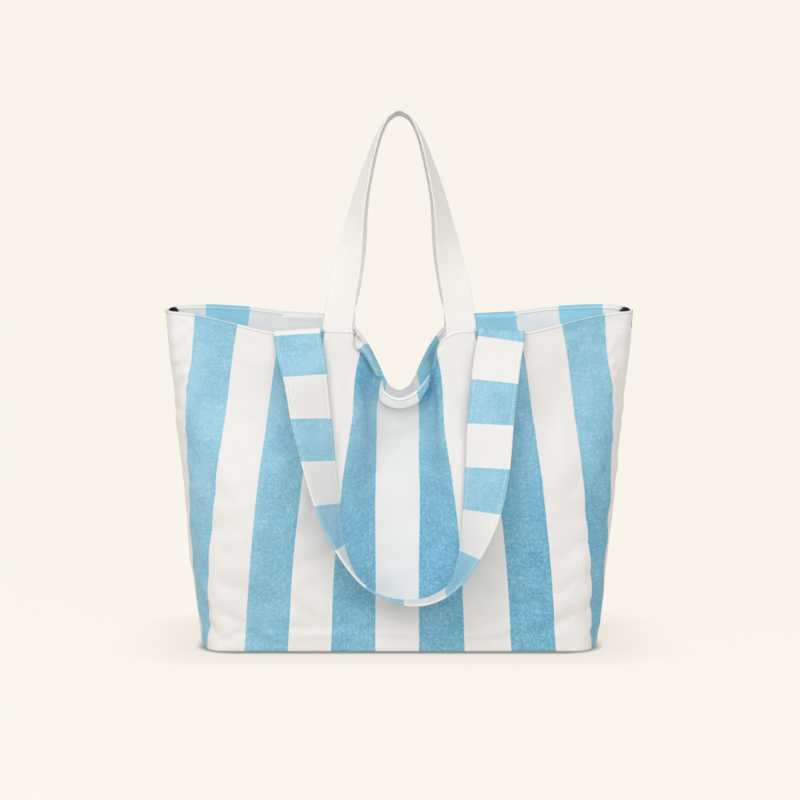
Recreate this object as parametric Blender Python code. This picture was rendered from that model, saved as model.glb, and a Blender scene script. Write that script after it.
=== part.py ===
"""A striped canvas weekender bag: two cloth panels over a boxed base, hem facings,
two webbing carrying handles, two striped shoulder straps and two pairs of press studs.

Frame: metres, +Z up, the front faces -Y, origin at the middle of the base on the floor.
Each cloth panel is a loft. u runs along the cloth from the middle of the bag to the side
seam, and v runs up the cloth from the base edge to the rim.
"""

import math

import bmesh
import bpy
import numpy as np

MM = 0.001

# Driving dimensions, in millimetres.
CLOTH_HALF = 340.0  # half of a panel's cut width, centre line to side seam
CANVAS = 1.6  # thickness of the body cloth
GAP = 0.5  # left between pieces that lie on each other
WEBBING_WIDTH = 38.0
WEBBING = 2.0  # thickness of the handle webbing
STRAP_WIDTH = 60.0
STRAP = 3.0  # thickness of the folded shoulder strap
HANDLE_X = 77.0  # middle of a handle's leg at the rim
HANDLE_TOP = 675.0  # height of the handle's apex
SEAM_CLEARANCE = 0.4  # between the two panels at the side seam
BOARD = 2.5  # thickness of the base board
SNAP_X, SNAP_Z = 290.0, 421.0  # centre of a press stud
SNAP_RADIUS = 6.5
# Lathe profiles of the stud's two halves: (radius, place along the axis)
SNAP_SOCKET = ((2.4, -2.4), (2.4, 0.2), (5.6, 0.2), (SNAP_RADIUS, -1.0), (SNAP_RADIUS, -2.4))
SNAP_STUD = (
    (0, -1.4), (1.7, -1.4), (2.0, -0.9), (2.0, 0.5), (5.6, 0.5),
    (SNAP_RADIUS, 1.2), (SNAP_RADIUS, 2.4), (0, 2.4),
)

# Layers inside a panel, as depths below its outer face: where each begins and ends.
HANDLE_LAYER = (CANVAS + 1.5 * GAP, CANVAS + 1.5 * GAP + WEBBING)
FACING_LAYER = (HANDLE_LAYER[1] + GAP, HANDLE_LAYER[1] + GAP + 1.0)
STRAP_LAYER = (FACING_LAYER[1] + GAP, FACING_LAYER[1] + GAP + STRAP)
TAPE_LAYER = (CANVAS + 2 * GAP, CANVAS + 2 * GAP + 1.0)

# Heights up the cloth, as shares of it, at which the level curves below lie.
LEVELS = (0.0, 0.24, 0.49, 0.74, 0.87, 1.0)

# Level curves of the front panel's right half: u: (x, y, z). The foot is a rounded
# rectangle, the rim a narrow slot that dips between the handles.
FOOT = {0: (0, -103, 0), 220: (220, -103, 0), 242: (238, -91, 0), 340: (253.5, 0, 0)}
LOW = {
    0: (0, -90, 100), 27: (27, -90, 100), 81: (79, -97, 100), 135: (132, -102, 101),
    189: (184, -102, 101), 233: (226, -94, 101), 262: (248, -75, 101),
    297: (260, -42, 102), 340: (265.5, 0, 102),
}
MIDDLE = {
    0: (0, -57, 205), 27: (28, -58, 205), 81: (69, -90, 206), 135: (121, -98, 207),
    189: (174, -95, 207), 243: (227, -79, 208), 297: (267, -42, 209), 340: (278, 0, 210),
}
FRONT_LEVELS = (
    FOOT,
    LOW,
    MIDDLE,
    {
        0: (0, -27, 262), 27: (27, -29, 265), 81: (57, -66, 294), 104: (76, -69, 306),
        135: (107, -68, 308), 189: (161, -62, 309), 243: (214, -49, 312),
        297: (268, -36, 315), 340: (289, 0, 318),
    },
    {
        0: (0, -28, 292), 27: (27, -30, 298), 81: (54, -61, 340), 104: (70, -62, 354),
        135: (100, -63, 358), 189: (154, -60, 358), 243: (208, -44, 362),
        297: (261, -27, 369), 333: (290, -14, 372), 340: (296, 0, 373),
    },
    {
        0: (0, -46, 321), 27: (25, -47, 333), 54: (39.5, -50, 356), 81: (50.5, -55, 381),
        104: (63, -59, 399),
        135: (93, -60, 400), 189: (147, -59, 399), 243: (202, -40, 407),
        297: (257, -18, 420), 322: (283, -10.5, 424), 333: (294, -9, 426),
        340: (300.5, 0, 427),
    },
)
BACK_LEVELS = (
    FOOT,
    LOW,
    MIDDLE,
    {
        0: (0, -24, 270), 27: (27, -26, 273), 81: (57, -62, 304), 104: (76, -66, 314),
        135: (107, -66, 318), 189: (161, -60, 318), 243: (214, -48, 318),
        297: (268, -36, 318), 340: (289, 0, 318),
    },
    {
        0: (0, -18, 305), 27: (27, -21, 310), 81: (55, -56, 356), 104: (70, -60, 370),
        135: (100, -61, 373), 189: (154, -58, 375), 243: (208, -43, 376),
        297: (261, -27, 376), 333: (290, -14, 374), 340: (296, 0, 373),
    },
    {
        0: (0, -24, 327), 27: (25, -27, 340), 54: (38.5, -37, 364), 81: (49.5, -49, 390),
        104: (63, -58, 416),
        135: (93, -60, 420), 189: (147, -59, 421), 243: (202, -39, 427),
        297: (257, -18, 431), 322: (283, -10.5, 429), 333: (294, -9, 428),
        340: (300.5, 0, 427),
    },
)
FRONT_RIM, BACK_RIM = 400.0, 420.0  # height of the rim where handles and straps leave it

# Route of the front shoulder strap from its left fold to its right one:
# (x, y, z, roll), roll in degrees, where 0 has the strap flat to the front
# and 90 has it standing out from the bag.
STRAP_ROUTE = (
    (-128.5, -65.8, -6, 0), (-125, -68, -18, 6), (-118, -81, -53, 25), (-110, -94, -107, 36),
    (-101, -110, -157, 49), (-90, -121, -208, 61), (-76, -129, -259, 80), (-64, -131, -285, 90),
    (-45, -131, -311, 97), (-20, -130, -327, 98), (8, -130, -334, 94), (34, -130, -332, 92),
    (62, -131, -317, 88), (86, -127, -276, 68), (101, -120, -226, 43), (109, -107, -171, 24),
    (113, -95, -119, 15), (119, -80, -64, 6), (125, -68, -18, 2), (128.5, -65.8, -6, 0),
)
# Half of a handle's route, from the rim to its apex: (x, share of its height, roll).
# A handle is flat to the front at the rim and level at the apex.
HANDLE_ROUTE = (
    (HANDLE_X, 0.0, 0), (72, 0.155, 8), (66.5, 0.264, 22), (61.5, 0.373, 37), (57, 0.48, 51),
    (51.5, 0.59, 62), (44, 0.70, 70), (34.5, 0.81, 78), (23.5, 0.92, 84), (12, 0.98, 88),
    (0, 1.0, 90),
)
HANDLE_FOOT, HANDLE_APEX = -57.3, -22.0  # how far forward a handle stands at each
STRAP_STEPS = 66
HANDLE_STEPS = 44

PANEL_U = (0, 14, 27, 45, 63, 81, 92, 104, 120, 135, 155, 175, 195, 215, 233, 244, 255,
           270, 285, 300, 312, 322, 333, CLOTH_HALF - SEAM_CLEARANCE)
HANDLE_SEWN = (99.0, 137.0)  # where on the cloth the ends are sewn in
STRAP_SEWN = (141.0, 200.0)
TAPE_END = 330.0
SEAM_TAPE_U = (325.0, 333.0, 338.5)
BASE_TAPE_V = (0.01, 0.04)
TOP_INSIDE = 0.995  # where the pieces inside the rim end

PANEL_V = (0, 0.05, 0.12, 0.24, 0.36, 0.49, 0.61, 0.68, 0.74, 0.81, 0.87, 0.93, 0.965, 1.0)


def eased(knots, values, at):
    """Cubic interpolation that never swings past its knots (Fritsch and Carlson)."""
    knots, values = np.asarray(knots, float), np.asarray(values, float)
    step = np.diff(knots)
    slope = np.diff(values) / step
    rate = np.zeros_like(values)
    before, after = slope[:-1], slope[1:]
    w1, w2 = 2 * step[1:] + step[:-1], step[1:] + 2 * step[:-1]
    same_way = before * after > 0
    safe_before = np.where(same_way, before, 1.0)
    safe_after = np.where(same_way, after, 1.0)
    rate[1:-1] = np.where(
        same_way, (w1 + w2) / (w1 / safe_before + w2 / safe_after), 0.0
    )
    rate[0], rate[-1] = slope[0], slope[-1]
    at = np.clip(np.asarray(at, float), knots[0], knots[-1])
    i = np.clip(np.searchsorted(knots, at, side="right") - 1, 0, len(step) - 1)
    t = (at - knots[i]) / step[i]
    h = step[i]
    return (
        values[i] * (1 + 2 * t) * (1 - t) ** 2
        + rate[i] * h * t * (1 - t) ** 2
        + values[i + 1] * t * t * (3 - 2 * t)
        + rate[i + 1] * h * t * t * (t - 1)
    )


def smooth(knots, values, at):
    """Cubic interpolation with a continuous bend, for routes (Catmull and Rom)."""
    knots, values = np.asarray(knots, float), np.asarray(values, float)
    rate = np.gradient(values, knots)
    at = np.asarray(at, float)
    i = np.clip(np.searchsorted(knots, at, side="right") - 1, 0, len(knots) - 2)
    h = knots[i + 1] - knots[i]
    t = (at - knots[i]) / h
    return (
        values[i] * (1 + 2 * t) * (1 - t) ** 2
        + rate[i] * h * t * (1 - t) ** 2
        + values[i + 1] * t * t * (3 - 2 * t)
        + rate[i + 1] * h * t * t * (t - 1)
    )


def mirrored(curve, k):
    """Knots and values of one coordinate of a level curve, over both halves of a panel."""
    u, values = list(curve), [point[k] for point in curve.values()]
    sign = -1 if k == 0 else 1
    return [-x for x in u[:0:-1]] + u, [sign * value for value in values[:0:-1]] + values


def cloth(back, u, v):
    """Points of a panel's outer face for arrays of u (columns) and v (rows)."""
    levels = BACK_LEVELS if back else FRONT_LEVELS
    u, v = np.asarray(u, float), np.asarray(v, float)
    curves = np.stack(
        [
            np.stack([eased(*mirrored(c, k), u) for k in range(3)])
            for c in levels
        ]
    )
    if back:
        curves[:, 1] *= -1
    points = np.empty((len(v), len(u), 3))
    for column in range(len(u)):
        for k in range(3):
            points[:, column, k] = eased(LEVELS, curves[:, k, column], v)
    return points


def layer(back, u, v, depth):
    """The panel's outer face moved inwards by depth, kept on its own side of the seam."""
    u, v = np.asarray(u, float), np.asarray(v, float)
    nudge_u, nudge_v = 0.5, 0.002
    low_u = np.clip(u - nudge_u, -CLOTH_HALF, CLOTH_HALF)
    high_u = np.clip(u + nudge_u, -CLOTH_HALF, CLOTH_HALF)
    along = cloth(back, high_u, v) - cloth(back, low_u, v)
    low_v, high_v = np.clip(v - nudge_v, 0, 1), np.clip(v + nudge_v, 0, 1)
    up = cloth(back, u, high_v) - cloth(back, u, low_v)
    normal = np.cross(along, up) * (-1 if back else 1)
    normal /= np.linalg.norm(normal, axis=2, keepdims=True)
    points = cloth(back, u, v) - normal * depth
    limit = SEAM_CLEARANCE / 2
    if back:
        points[..., 1] = np.maximum(points[..., 1], limit)
    else:
        points[..., 1] = np.minimum(points[..., 1], -limit)
    points[..., 2] = np.maximum(points[..., 2], 0.0)
    return points


def material(name, colour, roughness, metallic=0.0):
    made = bpy.data.materials.new(name)
    made.use_nodes = True
    shader = made.node_tree.nodes["Principled BSDF"]
    shader.inputs["Base Color"].default_value = (*colour, 1.0)
    shader.inputs["Roughness"].default_value = roughness
    shader.inputs["Metallic"].default_value = metallic
    return made


def add_object(name, mesh_points, faces, finish):
    """A mesh object from points in millimetres, with its normals facing out."""
    mesh = bpy.data.meshes.new(name)
    build = bmesh.new()
    made = [build.verts.new([c * MM for c in p]) for p in mesh_points]
    for face in faces:
        build.faces.new([made[i] for i in face])
    bmesh.ops.recalc_face_normals(build, faces=build.faces)
    build.to_mesh(mesh)
    build.free()
    mesh.materials.append(finish)
    mesh.shade_smooth()
    mesh.set_sharp_from_angle(angle=math.radians(40))
    made_object = bpy.data.objects.new(name, mesh)
    bpy.context.scene.collection.objects.link(made_object)
    return made_object


def slab(outer, inner):
    """Points and faces of a closed slab between two grids of the same size. Its squares
    are halved along diagonals that mirror each other about the middle of the bag."""
    rows, columns = outer.shape[:2]
    points = np.concatenate([outer.reshape(-1, 3), inner.reshape(-1, 3)])
    second = rows * columns
    faces = []
    for r in range(rows - 1):
        for c in range(columns - 1):
            a = r * columns + c
            b, d, e = a + 1, a + columns, a + columns + 1
            if outer[r, c, 0] + outer[r, c + 1, 0] < 0:
                halves = ((a, b, e), (a, e, d))
            else:
                halves = ((a, b, d), (b, e, d))
            faces.extend(halves)
            faces.extend(tuple(i + second for i in reversed(half)) for half in halves)
    rim = (
        [c for c in range(columns)]
        + [r * columns + columns - 1 for r in range(1, rows)]
        + [(rows - 1) * columns + c for c in range(columns - 2, -1, -1)]
        + [r * columns for r in range(rows - 2, 0, -1)]
    )
    for a, b in zip(rim, rim[1:] + rim[:1]):
        faces.append((b, a, a + second, b + second))
    return points, faces


def add_layer(name, back, u, v, depths, finish):
    """A piece of cloth that follows a panel between two depths below its outer face."""
    points, faces = slab(layer(back, u, v, depths[0]), layer(back, u, v, depths[1]))
    return add_object(name, points, faces, finish)


def between(values, low, high):
    """The given values that lie well inside a range, with its two ends added. Pieces that
    lie on a panel take its own grid lines, so that their faces run parallel to its faces."""
    clear = 0.12 * (high - low)
    inside = [x for x in values if low + clear < x < high - clear]
    return [low, *inside, high]


def both_ways(values):
    """Values from zero up, mirrored into one rising list through zero."""
    return [-x for x in reversed(values) if x > 0] + list(values)


def add_ribbon(name, centres, widths, width, thickness, finish):
    """A flat strip along centres, whose width lies along the given directions."""
    centres, widths = np.asarray(centres), np.asarray(widths)
    along = np.gradient(centres, axis=0)
    along /= np.linalg.norm(along, axis=1, keepdims=True)
    widths = widths - along * (widths * along).sum(1, keepdims=True)
    widths /= np.linalg.norm(widths, axis=1, keepdims=True)
    across = np.cross(along, widths)
    edges = [
        centres + widths * (side * width / 2) + across * (face * thickness / 2)
        for side, face in ((-1, -1), (1, -1), (1, 1), (-1, 1))
    ]
    points = np.stack(edges, axis=1).reshape(-1, 3)
    faces = [(3, 2, 1, 0)]
    for i in range(len(centres) - 1):
        for k in range(4):
            a, b = 4 * i + k, 4 * i + (k + 1) % 4
            faces.append((a, b, b + 4, a + 4))
    last = 4 * (len(centres) - 1)
    faces.append((last, last + 1, last + 2, last + 3))
    return add_object(name, points, faces, finish)


def add_handle(name, back, rim, finish):
    """A webbing loop that stands on the rim and turns level at its apex."""
    outward = 1 if back else -1
    half = np.array(HANDLE_ROUTE, float)
    knots = np.concatenate([half, (half * [-1, 1, 1])[-2::-1]])
    foot = rim + 3.5
    climb = np.stack([knots[:, 0], (HANDLE_TOP - foot) * knots[:, 1]], axis=1)
    length = np.concatenate([[0], np.cumsum(np.linalg.norm(np.diff(climb, axis=0), axis=1))])
    at = np.linspace(0, length[-1], HANDLE_STEPS)
    x, share, roll = (smooth(length, knots[:, k], at) for k in range(3))
    y = -outward * (HANDLE_FOOT + (HANDLE_APEX - HANDLE_FOOT) * share)
    centres = np.stack([x, y, foot + (HANDLE_TOP - foot) * share], axis=1)
    along = np.gradient(centres, axis=0)
    flat = np.stack([along[:, 2], np.zeros_like(x), -along[:, 0]], axis=1)
    flat /= np.linalg.norm(flat, axis=1, keepdims=True)
    turn = np.radians(np.minimum(roll, 90))[:, None]
    inwards = np.array([0.0, -outward, 0.0])
    widths = flat * np.cos(turn) + inwards * np.sin(turn)
    return add_ribbon(name, centres, widths, WEBBING_WIDTH, WEBBING, finish)


def strap_frames(back, rim):
    """Middle line and width directions of a shoulder strap. The back one is the front one
    turned half round the vertical."""
    knots = np.array(STRAP_ROUTE, float)
    length = np.concatenate(
        [[0], np.cumsum(np.linalg.norm(np.diff(knots[:, :3], axis=0), axis=1))]
    )
    at = np.linspace(0, length[-1], STRAP_STEPS)
    x, y, z, roll = (smooth(length, knots[:, k], at) for k in range(4))
    centres = np.stack([x, y, z + rim], axis=1)
    along = np.gradient(centres, axis=0)
    along /= np.linalg.norm(along, axis=1, keepdims=True)
    flat = np.stack([-along[:, 2], np.zeros_like(x), along[:, 0]], axis=1)
    flat /= np.linalg.norm(flat, axis=1, keepdims=True)
    turn = np.radians(roll)[:, None]
    towards_front = np.array([0.0, -1.0, 0.0])
    widths = -flat * np.cos(turn) + towards_front * np.sin(turn)
    if back:
        half_turn = np.array([-1, -1, 1])
        return centres * half_turn, widths * half_turn
    return centres, widths


def add_turned(name, profile, centre, finish, sides=24):
    """A round piece on an axis along Y. profile is a closed loop of (radius, y) points."""
    ring = [2 * math.pi * i / sides for i in range(sides)]
    points = [
        (centre[0] + r * math.cos(a), centre[1] + y, centre[2] + r * math.sin(a))
        for a in ring
        for r, y in profile
    ]
    n = len(profile)
    faces = []
    for i in range(sides):
        j = (i + 1) % sides
        for k in range(n):
            m = (k + 1) % n
            faces.append((i * n + k, i * n + m, j * n + m, j * n + k))
    return add_object(name, points, faces, finish)


def add_capped(name, outline, centre, finish, sides=24):
    """A solid round piece on an axis along Y, from an outline of (radius, y) points that
    starts and ends on the axis."""
    ring = [2 * math.pi * i / sides for i in range(sides)]
    inner = outline[1:-1]
    points = [
        (centre[0] + r * math.cos(a), centre[1] + y, centre[2] + r * math.sin(a))
        for a in ring
        for r, y in inner
    ]
    n = len(inner)
    first, last = len(points), len(points) + 1
    points.append((centre[0], centre[1] + outline[0][1], centre[2]))
    points.append((centre[0], centre[1] + outline[-1][1], centre[2]))
    faces = []
    for i in range(sides):
        j = (i + 1) % sides
        faces.append((first, i * n, j * n))
        faces.append((last, j * n + n - 1, i * n + n - 1))
        for k in range(n - 1):
            faces.append((i * n + k, i * n + k + 1, j * n + k + 1, j * n + k))
    return add_object(name, points, faces, finish)


def foot_outline(inset):
    """The rounded rectangle of the base, moved inwards by inset."""
    u = both_ways(PANEL_U)
    front = layer(False, u, [0.0], inset)[0]
    front[:, 1] = np.minimum(front[:, 1], -GAP)
    back = front[::-1] * np.array([1, -1, 1])
    return np.concatenate([front, back])


def add_plate(name, inset, low, high, finish):
    """A flat plate with the base's outline."""
    outline = foot_outline(inset)
    n = len(outline)
    points = [(x, y, low) for x, y, _ in outline] + [(x, y, high) for x, y, _ in outline]
    faces = [tuple(range(n - 1, -1, -1)), tuple(range(n, 2 * n))]
    for i in range(n):
        j = (i + 1) % n
        faces.append((i, j, j + n, i + n))
    return add_object(name, points, faces, finish)


def clear_scene():
    for found in list(bpy.data.objects):
        bpy.data.objects.remove(found)


def main():
    clear_scene()
    canvas = material("striped_canvas", (0.62, 0.76, 0.82), 0.9)
    webbing = material("webbing", (0.88, 0.87, 0.85), 0.85)
    tape = material("binding_tape", (0.84, 0.82, 0.78), 0.9)
    board = material("base_board", (0.55, 0.50, 0.42), 0.8)
    metal = material("black_metal", (0.02, 0.02, 0.022), 0.35, 0.9)

    tape_u = both_ways([u for u in PANEL_U if u < TAPE_END])
    handle_u = between(PANEL_U, *HANDLE_SEWN)
    strap_u = between(PANEL_U, *STRAP_SEWN)
    for side, back in (("front", False), ("back", True)):
        rim = BACK_RIM if back else FRONT_RIM
        add_layer(f"{side}_panel", back, both_ways(PANEL_U), PANEL_V, (0, CANVAS), canvas)
        add_layer(f"{side}_facing", back, tape_u, (0.93, 0.965, TOP_INSIDE), FACING_LAYER, canvas)
        add_layer(f"{side}_base_tape", back, tape_u, BASE_TAPE_V, TAPE_LAYER, tape)
        for hand, sign in (("left", -1), ("right", 1)):
            add_layer(f"{side}_handle_{hand}_end", back, sorted(sign * u for u in handle_u),
                      (0.90, 0.93, 0.965, TOP_INSIDE), HANDLE_LAYER, webbing)
            add_layer(f"{side}_strap_{hand}_end", back, sorted(sign * u for u in strap_u),
                      (0.87, 0.93, 0.965, TOP_INSIDE), STRAP_LAYER, canvas)
        add_handle(f"{side}_handle", back, rim, webbing)
        centres, widths = strap_frames(back, rim)
        add_ribbon(f"{side}_shoulder_strap", centres, widths, STRAP_WIDTH, STRAP, canvas)
    for hand, sign in (("left", -1), ("right", 1)):
        seam_u = sorted(sign * u for u in SEAM_TAPE_U)
        add_layer(f"{hand}_seam_tape", True, seam_u, between(PANEL_V, 0.05, 0.87),
                  TAPE_LAYER, tape)
        centre = (sign * SNAP_X, 0.0, SNAP_Z)
        add_turned(f"{hand}_snap_socket", SNAP_SOCKET, centre, metal)
        add_capped(f"{hand}_snap_stud", SNAP_STUD, centre, metal)
    add_plate("base_panel", CANVAS + GAP, 0.0, CANVAS, canvas)
    add_plate("base_board", 8.0, CANVAS + GAP, CANVAS + GAP + BOARD, board)


main()
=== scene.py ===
"""The striped canvas weekender bag, dressed: cloth with a woven stripe, hems, stitches,
webbing handles and folded shoulder straps, on a pale studio floor.

Lengths are in millimetres until a mesh is made. On a panel, u runs along the cloth from
the middle of the bag to the side seam, and v up the cloth from the base to the rim.
"""

import math

import bmesh
import bpy
import numpy as np
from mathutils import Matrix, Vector


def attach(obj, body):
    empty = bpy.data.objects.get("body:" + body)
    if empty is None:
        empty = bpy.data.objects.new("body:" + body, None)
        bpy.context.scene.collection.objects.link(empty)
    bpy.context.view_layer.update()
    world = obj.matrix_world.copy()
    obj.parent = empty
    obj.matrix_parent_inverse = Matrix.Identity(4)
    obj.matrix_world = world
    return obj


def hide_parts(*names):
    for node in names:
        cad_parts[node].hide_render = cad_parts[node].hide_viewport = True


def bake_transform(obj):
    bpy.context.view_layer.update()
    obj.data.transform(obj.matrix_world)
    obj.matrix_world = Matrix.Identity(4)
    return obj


MM = 0.001

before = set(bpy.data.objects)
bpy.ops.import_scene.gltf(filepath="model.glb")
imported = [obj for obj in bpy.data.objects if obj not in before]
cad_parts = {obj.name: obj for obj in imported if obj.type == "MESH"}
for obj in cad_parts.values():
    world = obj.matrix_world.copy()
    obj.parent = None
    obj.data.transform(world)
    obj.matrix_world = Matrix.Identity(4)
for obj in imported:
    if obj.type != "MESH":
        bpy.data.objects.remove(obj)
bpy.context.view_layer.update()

# ---------------------------------------------------------------- sizes of the bag

CLOTH_HALF = 340.0  # centre line to side seam
TALL = 430.0  # a panel's height where one number is enough
CANVAS = 1.6  # thickness
STRIPE = 54.0  # width of one stripe
WEBBING_WIDTH, WEBBING = 38.0, 2.0  # width and thickness, as for the straps below
STRAP_WIDTH, STRAP = 59.0, 2.8
FACING = 1.0  # thickness of the lining bands
RIMS = 400.0, 420.0  # heights of the front and the back rim
HANDLE_TOP = 675.0
HEM = 14.0  # width of the turned hem under the rim
HEM_THICK = 2.6  # and its thickness, doubled
TURN_ZONE = 25.0  # the cloth below the rim that can turn outwards
STITCH_ROW = 3.4  # distance of the rim's stitch rows from its edge
STRAP_ROW = 4.4  # and of the straps' rows from theirs
STITCH_PITCH, STITCH_LENGTH, STITCH_RADIUS = 3.5, 2.1, 0.42
SEAM_TUCK, FOOT_ROUND = 1.5, 2.6  # how far the cloth draws in at the seams and the foot
BAND_END = 331.0  # the lining bands stop this far from the middle
BAND_FOOT = (37.0, 35.0, 32.5)  # the band's last rows, below the finely meshed zone
BACK_STRIPES = 6.0  # the back panel's stripes sit this far to the right

# Level curves of the panels: the share of the height, and for each u the point (x, y, z).
LEVELS = (0.0, 0.24, 0.49, 0.74, 0.87, 1.0)
FOOT = {0: (0, -103, 0), 220: (220, -103, 0), 242: (239, -91, 0), 340: (257.5, 0, 0)}
LOW = {
    0: (0, -90, 100), 27: (27, -90, 100), 81: (79, -97, 100), 135: (132, -102, 101),
    189: (184, -102, 101), 233: (226, -94, 101), 262: (248, -75, 101),
    297: (262, -42, 102), 340: (269.5, 0, 102),
}
MIDDLE = {
    0: (0, -57, 205), 27: (28, -58, 205), 81: (69, -90, 206), 135: (121, -98, 207),
    189: (174, -95, 207), 243: (227, -79, 208), 297: (267.5, -42, 209), 340: (280, 0, 210),
}
FRONT_LEVELS = (
    FOOT,
    LOW,
    MIDDLE,
    {
        0: (0, -27, 262), 27: (27, -29, 265), 81: (57, -66, 294), 104: (76, -69, 306),
        135: (107, -68, 308), 189: (161, -62, 309), 243: (214, -49, 312),
        297: (268, -36, 315), 340: (290.5, 0, 318),
    },
    {
        0: (0, -28, 287), 27: (27, -30, 294), 81: (54, -61, 338), 104: (70, -62, 353),
        135: (100, -63, 358), 189: (154, -60, 358), 243: (208, -44, 362),
        297: (261, -27, 369), 333: (290, -14, 372), 340: (297.5, 0, 373),
    },
    {
        0: (0, -46, 315.5), 20: (18.3, -47, 323), 40: (31.7, -49, 338.3),
        58: (41, -51, 354), 74: (45.4, -54, 369.4), 88: (50.4, -56, 382),
        103: (60.5, -58, 392), 119: (76, -59.5, 397.5), 135: (92, -60, 398.3),
        162: (119.5, -60, 397), 189: (147, -58.5, 395.5), 205: (162, -55, 396),
        216: (173, -51, 398), 243: (201, -40, 404.5), 270: (229, -28, 411.5),
        297: (257, -18, 417), 322: (283, -10.5, 420.5), 333: (294, -8.5, 421.3),
        340: (301, 0, 422.5),
    },
)
BACK_LEVELS = (
    FOOT,
    LOW,
    MIDDLE,
    {
        0: (0, -24, 270), 27: (27, -26, 273), 81: (57, -62, 304), 104: (76, -66, 314),
        135: (107, -66, 318), 189: (161, -60, 318), 243: (214, -48, 318),
        297: (268, -36, 318), 340: (290.5, 0, 318),
    },
    {
        0: (0, -18, 298), 27: (25, -21, 306), 81: (52, -58.5, 350), 104: (70, -61.5, 368),
        135: (100, -62, 373), 189: (154, -58, 375), 243: (208, -43, 376),
        297: (261, -27, 376), 333: (290, -14, 374), 340: (297.5, 0, 373),
    },
    {
        0: (0, -24, 318), 14: (12.5, -25, 324), 27: (19.5, -28, 335),
        41: (25.5, -33, 348.5), 58: (32.5, -39, 363.5), 79: (43, -50, 381.5),
        104: (61, -60, 402), 119: (75, -61, 409.5), 135: (90, -60.5, 413.5),
        162: (119, -60, 416.5), 189: (146, -59, 419), 216: (173, -51, 423),
        243: (202, -40, 427), 297: (257, -18, 430), 322: (283, -10.5, 429),
        333: (294, -8.5, 427), 340: (301, 0, 422.5),
    },
)
# Left of the middle the front hem lies turned over, so its cloth reaches further in.
FRONT_LEFT_RIM = {
    0: (0, -46, 315.5), 14: (12.5, -46.5, 320), 26: (21.8, -48, 330), 35: (24.5, -49, 344),
    50: (30, -51, 362), 64: (35.5, -53, 377), 81: (42.5, -55, 389), 95: (53.5, -57, 396),
    107: (65, -58.5, 398), 119: (76, -59.5, 398),
}
# Length of the turned-over flap of hem, by u.
FLAP_AT, FLAP_LENGTH = (-101, -87, -68, -52, -39, -28), (0, 9.5, 9, 6.8, 3.4, 0)
LIP_END = 92  # where the lip at the dip's right has ended
# The base cloth's rounded edge, from below: (inset from the panels' foot, height).
BASE_EDGE = (60.0, 0.0), (3.0, 0.0), (0.6, 0.05), (0.1, 0.3), (0.35, 1.0), (0.35, 1.2)
# The soft folds of a panel: (u at the rim, width, height).
FOLDS = (
    (-66, 7, 2.4), (-44, 6, -2.0), (52, 7, -2.2), (70, 8, 2.6),
    (-96, 9, -1.8), (101, 9, -1.6), (18, 6, 1.5), (-14, 6, 1.4),
)
SETTLES, MOST_SETTLING = 0.45, 3.0  # share of the settling that is kept, and its limit
SETTLING_FRAMES = 30
# A shoulder strap's route: (x, y, height against the rim, roll in degrees).
STRAP_ROUTE = (
    (-128.5, -55.6, -48, 0), (-128.5, -55.4, -27, 0), (-128.5, -55.1, -12, 0),
    (-128.5, -55.0, -4.8, 0), (-128.3, -58.6, -0.7, 0), (-128, -63.2, -4.1, 0),
    (-127.6, -64.9, -10.3, 1),
    (-125, -68, -23, 5), (-118, -81, -55, 25), (-110, -94, -107, 36),
    (-101, -110, -157, 49), (-90, -121, -208, 61), (-76, -129, -259, 80), (-64, -131, -285, 90),
    (-45, -131, -311, 97), (-20, -130, -327, 98), (8, -130, -334, 94), (34, -130, -332, 92),
    (62, -131, -317, 88), (86, -127, -276, 68), (101, -120, -226, 43), (109, -107, -171, 24),
    (113, -95, -119, 15), (119, -80, -64, 6), (125, -68, -23, 2),
    (127.6, -64.9, -10.3, 0), (128, -63.2, -4.1, 0), (128.3, -58.6, -0.7, 0),
    (128.5, -55.0, -4.8, 0), (128.5, -55.1, -12, 0), (128.5, -55.4, -27, 0),
    (128.5, -55.6, -48, 0),
)
# How much lower a front and a back strap's fold lies at its outer end, and as a whole.
FOLD_TILT, FOLD_DROP = (math.radians(6), math.radians(-3)), (0, 0.8)
STRAP_SEWN, STRAP_FOLD = 2, 4  # the route's points where it is free, and atop the fold
STRAP_HINGE = 56.5, 64.5  # the strap bends over the rim between these distances in y
# Whole stripes in a strap's loop, the length left over, and the part of it at the start.
STRAP_STRIPES, STRAP_REST, STRAP_START = 14, 22.0, 8.0
# Half a carrying handle's route: (x, height against the rim, roll in degrees, y).
HANDLE_ROUTE = (
    (77.5, -42, 0, -56.3), (77.5, -20, 0, -56.3), (77.5, -4, 3, -56.3), (77.2, 6, 7, -56),
    (75, 21, 9, -54.5), (71.8, 46, 12, -52), (66.6, 72, 22, -48), (61.4, 102, 37, -44),
    (57, 131, 51, -40), (51.4, 161, 62, -36.5), (43.8, 191, 70, -33), (35, 221, 78, -29),
    (24.5, 249, 84, -25), (13, 266.5, 88, -22.6), (0, 272.5, 90, -22),
)
BACK_HANDLE_NARROWS = 0.95  # the back handle's legs stand this much closer


def cubic(knots, values, rate, at):
    """The cubic curve through values at knots, with the given rate of change at each."""
    at = np.asarray(at, float)
    i = np.clip(np.searchsorted(knots, at, side="right") - 1, 0, len(knots) - 2)
    h = knots[i + 1] - knots[i]
    t = (at - knots[i]) / h
    return (
        values[i] * (1 + 2 * t) * (1 - t) ** 2
        + rate[i] * h * t * (1 - t) ** 2
        + values[i + 1] * t * t * (3 - 2 * t)
        + rate[i + 1] * h * t * t * (t - 1)
    )


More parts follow.
